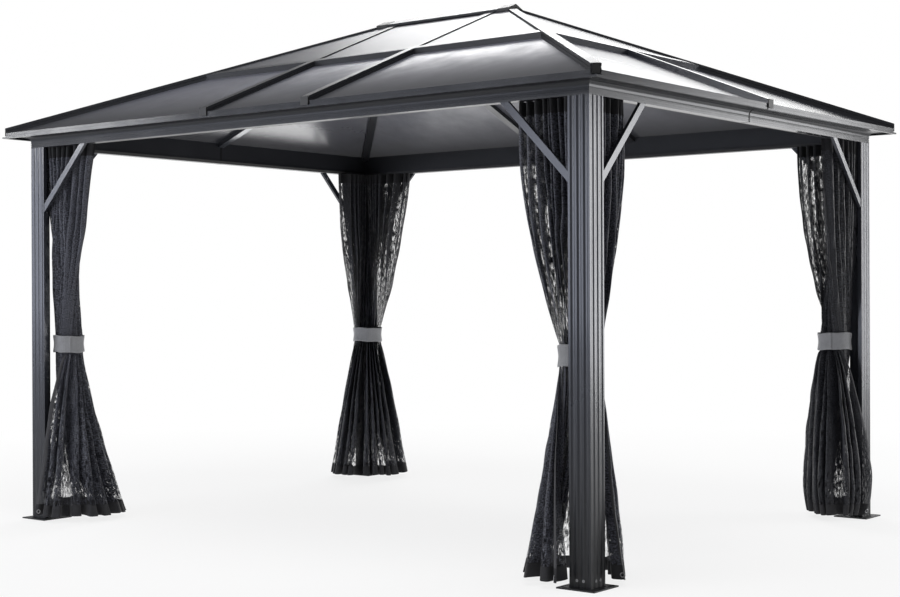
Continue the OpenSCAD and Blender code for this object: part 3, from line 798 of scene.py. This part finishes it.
def hook_tree(material):
    """Net hook: a glider in the track with a wire eye below it."""
    tree = FittingTree("net_hook", "Radius", "Wire")
    arc = {
        "Radius": tree.size("Radius"),
        "Resolution": 18,
        "Start Angle": math.radians(90.0),
        "Sweep Angle": math.radians(325.0),
    }
    eye = tree.swept(tree.made("CurveArc", arc, mode="RADIUS"), tree.size("Wire"), **{"Fill Caps": True})
    upright = tree.placed(eye, Rotation=(math.radians(90.0), 0.0, 0.0))
    stem = tree.rod(tree.size("Wire", 1.6), tree.size("Radius", 1.2), vertices=10)
    raised = tree.placed(stem, Translation=tree.vector(Z=tree.size("Radius", 1.5)))
    return tree.scatter(tree.joined(upright, raised), material)


def stitch_tree(material):
    """One stitch: a short rounded thread along X, half sunk in the cloth."""
    tree = FittingTree("stitch", "Length", "Width")
    bead = tree.made("MeshUVSphere", {"Radius": tree.size("Length", 0.5), "Segments": 8, "Rings": 5})
    slim = tree.math("DIVIDE", tree.size("Width"), tree.size("Length"))
    thread = tree.placed(bead, Scale=tree.vector(X=1.0, Y=slim, Z=slim))
    return tree.scatter(thread, material)


def add_fittings(name, tree, spots, sizes):
    """Plain mesh of one fitting on every spot, a place with its turn, as a piece of its own."""
    places, turns = zip(*spots)
    carrier_mesh = bpy.data.meshes.new(f"{name}_places")
    carrier_mesh.from_pydata([tuple(place) for place in places], [], [])
    attribute = carrier_mesh.attributes.new("turn", "FLOAT_VECTOR", "POINT")
    attribute.data.foreach_set("vector", np.array(turns, np.float32).ravel())
    carrier = bpy.data.objects.new(f"{name}_places", carrier_mesh)
    bpy.context.scene.collection.objects.link(carrier)
    modifier = carrier.modifiers.new(name, "NODES")
    modifier.node_group = tree
    for socket in tree.interface.items_tree:
        if socket.in_out == "INPUT" and socket.name in sizes:
            modifier[socket.identifier] = float(sizes[socket.name])
    graph = bpy.context.evaluated_depsgraph_get()
    mesh = bpy.data.meshes.new_from_object(carrier.evaluated_get(graph))
    bpy.data.objects.remove(carrier)
    if not mesh.polygons:
        raise RuntimeError(f"{name}: no fitting was made")
    mesh.name = name
    if "turn" in mesh.attributes:
        mesh.attributes.remove(mesh.attributes["turn"])
    add_piece(name, mesh)


def turn_to(facing):
    """Euler angles that turn +Z to a direction."""
    return tuple(Vector(facing).to_track_quat("Z", "Y").to_euler())


def turn_along(way, facing):
    """Euler angles that turn +X along a direction and +Z to a facing."""
    x = Vector(way).normalized()
    z = Vector(facing)
    z = (z - x * z.dot(x)).normalized()
    return tuple(Matrix((x, z.cross(x), z)).transposed().to_euler())


def stitch_run(points, normals, pitch):
    """Places, facings and directions of stitches at an even pitch along a row of points."""
    steps = np.linalg.norm(np.diff(points, axis=0), axis=1)
    along = np.concatenate([[0.0], np.cumsum(steps)])

    def at(distance, values):
        return np.array([np.interp(distance, along, values[:, axis]) for axis in range(3)])

    for distance in np.arange(pitch / 2, along[-1], pitch):
        spot = at(distance, points)
        ahead = at(distance + pitch / 4, points)
        facing = at(distance, normals)
        if np.linalg.norm(ahead - spot) > 1e-6:
            yield spot, facing / np.linalg.norm(facing), ahead - spot


# Operators

class GAZEBO_OT_frame_finish(bpy.types.Operator):
    """Coat the posts, braces, headers, trims, rails and foot plates"""

    bl_idname = "gazebo.frame_finish"
    bl_label = "Frame finish"

    def execute(self, context):
        finish = context.scene.gazebo_finish
        dress(METAL_NODES, powder_coat("powder_coat", finish.metal, gloss=(0.16, 0.22)))
        # rails, headers and trims take the darker rail tone, painted shade
        dress(RAIL_NODES, powder_coat("rail_coat", finish.rail, gloss=(0.32, 0.42), shine=0.25))
        dress(TRIM_NODES, powder_coat("trim_coat", finish.rail, gloss=(0.14, 0.20), shine=0.35))
        # headers and trims of two lengths also get a painted shadow at their joint
        for name in JOINED_NODES:
            joint = joint_place(name)
            dress([name], powder_coat(f"{name}_coat", finish.rail, (0.13, 0.18), shine=0.15, joint=joint))
        return {"FINISHED"}


class GAZEBO_OT_roof_panels(bpy.types.Operator):
    """Give the roof panels their smoked sheet"""

    bl_idname = "gazebo.roof_panels"
    bl_label = "Roof panels"

    def execute(self, context):
        finish = context.scene.gazebo_finish
        eave, step = (corner.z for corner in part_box("front_lower_panels"))
        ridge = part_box("front_upper_panels")[1].z
        for sheet in LOWER_SHEETS:
            dress(sheet.nodes, smoked_sheet(sheet, finish.panel, finish.panel_alpha, eave, step))
        for sheet in UPPER_SHEETS:
            dress(sheet.nodes, smoked_sheet(sheet, finish.upper_panel, finish.panel_alpha, step, ridge))
        return {"FINISHED"}


class GAZEBO_OT_plastic_parts(bpy.types.Operator):
    """Give the end caps and curtain tracks their black plastic"""

    bl_idname = "gazebo.plastic_parts"
    bl_label = "Caps and tracks"

    def execute(self, context):
        dress(PLASTIC_NODES, moulded_plastic(context.scene.gazebo_finish.plastic))
        return {"FINISHED"}


class GAZEBO_OT_nets(bpy.types.Operator):
    """Hang a pleated net in each corner, drawn in at its tie"""

    bl_idname = "gazebo.nets"
    bl_label = "Nets"

    def execute(self, context):
        settings = context.scene.gazebo_nets
        materials = (
            net_mesh(settings),
            woven_cloth("net_band", settings.cloth, pitch=0.003, contrast=0.3, sheen=0.04),
            woven_cloth("edge_tape", settings.edge, pitch=0.003, contrast=0.25, sheen=0.06),
        )
        heights = net_rows(settings.band)
        marks = (NET_LOW + settings.band, NET_LOW + COVER_MARK, TIE_LOW, TIE_HIGH, NET_HIGH)
        for seed, corner in enumerate(CORNERS, start=NET_SEED):
            folds = NetFolds(settings, corner, seed)
            grid = net_points(folds, heights)
            across = folds.share * settings.width
            mesh = sheet_mesh(f"{corner}_hung_net", corner, grid, across, heights - NET_LOW)
            for material in materials:
                mesh.materials.append(material)
            cover = np.interp(heights, marks, folds.hang.cover)
            # painted light: each net's glints lighter where it stands lit and darker where it stands in
            # shade
            fade = np.interp(heights, (marks[0], marks[-1]), folds.hang.fade)
            for name, values in (("cover", cover), ("fade", fade)):
                attribute = mesh.attributes.new(name, "FLOAT", "POINT")
                attribute.data.foreach_set("value", np.repeat(values, grid.shape[1]).astype(np.float32))
            banded = near_edge(heights - NET_LOW, settings.band)
            taped = near_edge(across, settings.tape)
            slots = np.where(banded[:, None], 1, np.where(taped[None, :], 2, 0))
            mesh.polygons.foreach_set("material_index", slots.ravel().astype(np.int32))
            net = add_piece(f"{corner}_hung_net", mesh)
            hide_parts(f"{corner}_net")
        return {"FINISHED"}


TIE_ROWS, TIE_COLUMNS = 13, 132
# waves of a tie, each with its depth and its number round the bundle: in and out, up and down
TIE_RIPPLES = ((0.0016, 3), (0.0010, 7))
TIE_SWINGS = ((0.0030, 2), (0.0015, 5))
# how far a tie is drawn in at half its height
TIE_PINCH = 0.0020
# turn over which the closing lap rises, and by how many thicknesses
LAP_TURN, LAP_RISE = 0.35, 1.6


def tie_waves(waves, starts, angles):
    return sum(depth * np.sin(count * angles + start) for (depth, count), start in zip(waves, starts))


class GAZEBO_OT_ties(bpy.types.Operator):
    """Close a webbing band round each net"""

    bl_idname = "gazebo.ties"
    bl_label = "Ties"

    def execute(self, context):
        settings = context.scene.gazebo_nets
        webbing = woven_cloth("tie_webbing", settings.tie, pitch=0.0035, contrast=0.22)
        height = TIE_HIGH - TIE_LOW
        rows = np.linspace(0.0, 1.0, TIE_ROWS)
        pinch = TIE_PINCH * np.cos(TAU * (rows - 0.5))
        for seed, corner in enumerate(CORNERS, start=TIE_SEED):
            radius = HANGS[corner].tie + 2 * settings.tie_thickness
            lap = settings.tie_overlap / radius
            draw = random.Random(seed)
            starts = [draw.uniform(0.0, TAU) for _ in range(4)]
            angles = np.linspace(0.0, TAU + lap, TIE_COLUMNS)
            turned = angles + (math.radians(HANGS[corner].lap) - lap)
            late = np.clip((angles - TAU + LAP_TURN) / LAP_TURN, 0.0, 1.0)
            rise = late * LAP_RISE * settings.tie_thickness
            reach = radius + tie_waves(TIE_RIPPLES, starts[:2], angles) + rise - pinch[:, None]
            grid = np.zeros((TIE_ROWS, TIE_COLUMNS, 3))
            grid[:, :, 0] = TIE_LINE + reach * np.cos(turned)
            grid[:, :, 1] = TIE_LINE + reach * np.sin(turned)
            grid[:, :, 2] = TIE_HIGH - rows[:, None] * height + tie_waves(TIE_SWINGS, starts[2:], angles)
            mesh = sheet_mesh(f"{corner}_tie", corner, grid, angles * radius, rows * height)
            mesh.materials.append(webbing)
            tie = add_piece(f"{corner}_tie", mesh)
            thick = tie.modifiers.new("thickness", "SOLIDIFY")
            thick.thickness = settings.tie_thickness
            thick.offset = 0.0
            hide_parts("net_ties")
        return {"FINISHED"}


# rows and columns of a tie that are sewn, the pitch in stitches, and how far a stitch stands off
SEAM_ROWS = (1, TIE_ROWS - 2)
SEAM_COLUMNS = (TIE_COLUMNS - 3, TIE_COLUMNS - 9)
STITCH_PITCH = 1.5
STITCH_LIFT = 0.0002


class GAZEBO_OT_stitches(bpy.types.Operator):
    """Sew the edges and the closing lap of each tie"""

    bl_idname = "gazebo.stitches"
    bl_label = "Stitches"

    def execute(self, context):
        settings = context.scene.gazebo_nets
        fittings = context.scene.gazebo_fittings
        tree = stitch_tree(woven_cloth("sewing_thread", settings.thread, pitch=0.002, contrast=0.2))
        lift = settings.tie_thickness / 2 + STITCH_LIFT
        pitch = STITCH_PITCH * fittings.stitch_length
        spots = []
        for corner in CORNERS:
            tie = bpy.data.objects[f"{corner}_tie"].data
            grid = np.array([vertex.co for vertex in tie.vertices]).reshape(TIE_ROWS, TIE_COLUMNS, 3)
            out = np.array([vertex.normal for vertex in tie.vertices]).reshape(grid.shape)
            if ((grid - grid.mean(axis=(0, 1))) * out).sum() < 0:
                out = -out
            seams = [(grid[row], out[row]) for row in SEAM_ROWS]
            seams += [(grid[:, column], out[:, column]) for column in SEAM_COLUMNS]
            for points, normals in seams:
                for spot, facing, way in stitch_run(points, normals, pitch):
                    spots.append((spot + facing * lift, turn_along(way, facing)))
        sizes = {"Length": fittings.stitch_length, "Width": fittings.stitch_width}
        add_fittings("tie_stitches", tree, spots, sizes)
        return {"FINISHED"}


# distance of a hook's eye below the top of the net
HOOK_DROP = 0.012


class GAZEBO_OT_hooks(bpy.types.Operator):
    """Hang the nets from hooks in the tracks"""

    bl_idname = "gazebo.hooks"
    bl_label = "Net hooks"

    def execute(self, context):
        fittings = context.scene.gazebo_fittings
        pleats = context.scene.gazebo_nets.pleats
        tree = hook_tree(moulded_plastic(context.scene.gazebo_finish.plastic))
        shares = (np.arange(pleats) + 0.5) / pleats
        spots = []
        for corner in CORNERS:
            points, normals, _ = track_line(shares, HANGS[corner].reach)
            for point, normal in zip(points, normals):
                place = corner_to_world(corner, (*point, NET_HIGH - HOOK_DROP))
                spots.append((place, (0.0, 0.0, math.atan2(normal[1], normal[0]))))
        sizes = {"Radius": fittings.hook_radius, "Wire": fittings.hook_wire}
        add_fittings("net_hooks", tree, spots, sizes)
        return {"FINISHED"}


# how far an eyelet stands off its net
EYELET_LIFT = 0.001


class GAZEBO_OT_eyelets(bpy.types.Operator):
    """Set eyelets in the lower corners of the nets"""

    bl_idname = "gazebo.eyelets"
    bl_label = "Eyelets"

    def execute(self, context):
        fittings = context.scene.gazebo_fittings
        tree = ring_tree(bright_metal(context.scene.gazebo_finish.fastener))
        columns = context.scene.gazebo_nets.pleats * COLUMNS_PER_PLEAT + 1
        spots = []
        for corner in CORNERS:
            vertices = bpy.data.objects[f"{corner}_hung_net"].data.vertices
            row_start = len(vertices) - 2 * columns
            for column in (2, columns - 3):
                vertex = vertices[row_start + column]
                spots.append((vertex.co + vertex.normal * EYELET_LIFT, turn_to(vertex.normal)))
        sizes = {"Radius": fittings.ring_radius, "Rim": fittings.ring_wire}
        add_fittings("net_eyelets", tree, spots, sizes)
        return {"FINISHED"}


# height of the foot screws over the plate, and their places across a leg of the post
FOOT_RISE, FOOT_SHARES = 0.028, (0.35, 0.65)
# distance of a brace's inner face from the outer post face, half its slanting end, screws along it
BRACE_FACE, BRACE_HALF, BRACE_SHARES = 0.018, 0.021, (0.10, 0.90)


class GAZEBO_OT_screws(bpy.types.Operator):
    """Set the screws at the post feet and the braces"""

    bl_idname = "gazebo.screws"
    bl_label = "Screws"

    def execute(self, context):
        fittings = context.scene.gazebo_fittings
        tree = screw_tree(bright_metal(context.scene.gazebo_finish.fastener))
        foot_z = PLATE_TOP + FOOT_RISE
        spots = []

        def add(facing, *place):
            spots.append((place, turn_to(facing)))

        for side_x, side_y in CORNERS.values():
            for share in FOOT_SHARES:
                inset = share * POST_LEG
                add((0, side_y, 0), side_x * (HALF_X - inset), side_y * HALF_Y, foot_z)
                add((side_x, 0, 0), side_x * HALF_X, side_y * (HALF_Y - inset), foot_z)
        for corner, (side_x, side_y) in CORNERS.items():
            low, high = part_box(f"{corner}_braces")
            reach = high.x - low.x - POST_LEG - BRACE_HALF
            drop = high.z - low.z - BRACE_HALF
            for share in BRACE_SHARES:
                out = POST_LEG + share * reach
                z = high.z - (1 - share) * drop
                add((0, -side_y, 0), side_x * (HALF_X - out), side_y * (HALF_Y - BRACE_FACE), z)
                add((-side_x, 0, 0), side_x * (HALF_X - BRACE_FACE), side_y * (HALF_Y - out), z)
        sizes = {"Radius": fittings.screw_radius, "Height": fittings.screw_height}
        add_fittings("screws", tree, spots, sizes)
        return {"FINISHED"}


# Studio

class Lamp(NamedTuple):
    """Where one area lamp stands and aims, its width and height, and its tint."""

    place: tuple
    target: tuple
    size: tuple
    tint: tuple = (1.0, 1.0, 1.0)


LAMPS = {
    "side": Lamp((5.2, 4.7, 1.54), (2.05, 0.0, 1.46), (3.4, 2.6)),
    "back": Lamp((-2.5, 7.7, 5.4), (1.5, -0.3, 2.2), (3.4, 4.2)),
    "slope": Lamp((-4.0, 4.9, 7.8), (0.4, -0.8, 2.4), (3.4, 3.0)),
    "top": Lamp((1.5, -2.0, 6.5), (0.0, 0.0, 1.5), (4.0, 4.0)),
    "rail": Lamp((-1.6, -6.7, 3.95), (-1.6, 0.0, 3.95), (2.8, 0.7)),
    "under": Lamp((-2.85, 2.75, 0.12), (-2.60, 2.75, 2.00), (3.4, 1.5)),
    "fill": Lamp((-5.2, -6.7, 1.68), (-5.2, 0.0, 1.68), (7.6, 1.96), (0.84, 0.88, 1.0)),
    "eave": Lamp((-8.1, -6.7, 2.97), (-8.1, 0.0, 2.97), (2.8, 0.42)),
}
# elevations in degrees between which the white horizon ends
SKY_EDGE = (11.5, 15.0)
# cosines of the turn from the view between which the backdrop grows to full white
BACKDROP_EDGE = (0.50, 0.86)
FLOOR_RADIUS, FLOOR_SPOKES = 30.0, 96
# distances from the middle over which the floor fades to white, and the share of white under the gazebo
FLOOR_FADE, FLOOR_WHITE = (2.6, 6.5), 0.80
# the picture's half width for each metre ahead, the fade beside it, and the fade in at its near edge
VIEW_SPREAD, VIEW_FADE, VIEW_NEAR = 0.31, 4.5, (4.6, 5.9)
FAR_CLIP = 200.0


def area_lamp(name, lamp, power):
    light = bpy.data.lights.new(name, "AREA")
    light.shape = "RECTANGLE"
    light.size, light.size_y = lamp.size
    light.energy = power
    light.color = lamp.tint
    holder = bpy.data.objects.new(name, light)
    holder.location = lamp.place
    aim = Vector(lamp.target) - Vector(lamp.place)
    holder.rotation_euler = aim.to_track_quat("-Z", "Y").to_euler()
    holder.visible_camera = False
    bpy.context.scene.collection.objects.link(holder)


def studio_sky(level, side, view):
    """White backdrop low down behind the gazebo, a dimmer room to the sides and overhead."""
    world = bpy.data.worlds.new("studio_sky")
    world.use_nodes = True
    sky = NodeKit(world.node_tree)
    direction = sky.node("ShaderNodeTexCoord", {}).outputs["Generated"]
    edge = (math.sin(math.radians(angle)) for angle in SKY_EDGE)
    low = sky.range(sky.axis(direction, "Z"), *edge, 1.0, 0.0, smooth=True)
    toward = sky.measure("DOT_PRODUCT", direction, view)
    backdrop = sky.range(toward, *BACKDROP_EDGE, side, 1.0, smooth=True)
    strength = sky.node("ShaderNodeMix", {"Factor": low, "A": level, "B": backdrop}).outputs["Result"]
    background = sky.tree.nodes["Background"]
    background.inputs["Color"].default_value = (1.0, 1.0, 1.0, 1.0)
    sky.put(background.inputs["Strength"], strength)
    bpy.context.scene.world = world


def pale_floor(tone, eye, view):
    """Round pale floor that fades into the white backdrop inside the picture."""
    paint = Shader("studio_floor")
    flat = paint.stretched((1.0, 1.0, 0.0))
    far = paint.range(paint.measure("LENGTH", flat), *FLOOR_FADE, FLOOR_WHITE, 1.0, smooth=True)

    def measured(axis):
        return paint.math("SUBTRACT", paint.measure("DOT_PRODUCT", paint.place, axis), eye.dot(axis))

    ahead = measured(view)
    aside = paint.math("ABSOLUTE", measured(view.cross(UP)))
    beyond = paint.math("SUBTRACT", aside, paint.math("MULTIPLY", ahead, VIEW_SPREAD))
    beside = paint.range(beyond, 0.0, VIEW_FADE, 1.0, 0.0, smooth=True)
    near = paint.range(ahead, *VIEW_NEAR, 0.0, 1.0, smooth=True)
    white = paint.math("MULTIPLY", far, paint.math("MULTIPLY", beside, near))
    paint.finish({"Base Color": shade(tone, 1.0), "Roughness": 0.9, "Specular IOR Level": 0.1})
    glow = paint.node("ShaderNodeEmission", {"Strength": 1.0}).outputs[0]
    blend = paint.node("ShaderNodeMixShader", {0: white, 1: paint.principled.outputs[0], 2: glow})
    paint.put(paint.tree.nodes["Material Output"].inputs["Surface"], blend.outputs[0])
    turns = [TAU * spoke / FLOOR_SPOKES for spoke in range(FLOOR_SPOKES)]
    rim = [(FLOOR_RADIUS * math.cos(turn), FLOOR_RADIUS * math.sin(turn), 0.0) for turn in turns]
    mesh = bpy.data.meshes.new("studio_floor")
    mesh.from_pydata(rim, [], [range(FLOOR_SPOKES)])
    mesh.materials.append(paint.material)
    floor = bpy.data.objects.new("studio_floor", mesh)
    bpy.context.scene.collection.objects.link(floor)


class GAZEBO_OT_studio(bpy.types.Operator):
    """Set up the camera, the lamps, the sky and the floor"""

    bl_idname = "gazebo.studio"
    bl_label = "Studio"

    def execute(self, context):
        studio = context.scene.gazebo_studio
        scene = context.scene
        scene.view_settings.view_transform = "Standard"
        lens = bpy.data.cameras.new("photo_view")
        lens.lens = studio.lens
        lens.shift_x = studio.shift_x
        lens.shift_y = studio.shift_y
        lens.clip_end = FAR_CLIP
        camera = bpy.data.objects.new("photo_view", lens)
        turned = Matrix.Rotation(studio.yaw, 4, "Z") @ Matrix.Rotation(math.pi / 2 + studio.pitch, 4, "X")
        leaned = turned @ Matrix.Rotation(studio.roll, 4, "Z")
        camera.matrix_world = Matrix.Translation(studio.eye) @ leaned
        scene.collection.objects.link(camera)
        scene.camera = camera
        ahead = Vector((-math.sin(studio.yaw), math.cos(studio.yaw), 0.0))
        studio_sky(studio.overhead, studio.room, ahead)
        pale_floor(studio.floor, Vector(studio.eye), ahead)
        for name, lamp in LAMPS.items():
            area_lamp(f"{name}_lamp", lamp, getattr(studio, f"{name}_watts"))
        return {"FINISHED"}


class GAZEBO_PT_panel(bpy.types.Panel):
    """Sidebar list of the gazebo's pieces"""

    bl_idname = "GAZEBO_PT_panel"
    bl_label = "Gazebo"
    bl_space_type = "VIEW_3D"
    bl_region_type = "UI"
    bl_category = "Gazebo"

    def draw(self, context):
        for operator in OPERATORS:
            self.layout.operator(operator.bl_idname)
        for group in GROUPS:
            settings = getattr(context.scene, group)
            box = self.layout.box()
            for name in type(settings).__annotations__:
                box.prop(settings, name)


GROUPS = {
    "gazebo_finish": FinishSettings,
    "gazebo_nets": NetSettings,
    "gazebo_fittings": FittingSettings,
    "gazebo_studio": StudioSettings,
}
OPERATORS = (
    GAZEBO_OT_frame_finish,
    GAZEBO_OT_roof_panels,
    GAZEBO_OT_plastic_parts,
    GAZEBO_OT_nets,
    GAZEBO_OT_ties,
    GAZEBO_OT_stitches,
    GAZEBO_OT_hooks,
    GAZEBO_OT_eyelets,
    GAZEBO_OT_screws,
    GAZEBO_OT_studio,
)
CLASSES = (*GROUPS.values(), *OPERATORS, GAZEBO_PT_panel)


def register():
    for kind in CLASSES:
        bpy.utils.register_class(kind)
    for name, kind in GROUPS.items():
        setattr(bpy.types.Scene, name, PointerProperty(type=kind))


def unregister():
    for name in GROUPS:
        delattr(bpy.types.Scene, name)
    for kind in reversed(CLASSES):
        bpy.utils.unregister_class(kind)


def main():
    register()
    bpy.ops.gazebo.frame_finish()
    bpy.ops.gazebo.roof_panels()
    bpy.ops.gazebo.plastic_parts()
    bpy.ops.gazebo.nets()
    bpy.ops.gazebo.ties()
    bpy.ops.gazebo.stitches()
    bpy.ops.gazebo.hooks()
    bpy.ops.gazebo.eyelets()
    bpy.ops.gazebo.screws()
    bpy.ops.gazebo.studio()


if __name__ == "__main__":
    main()
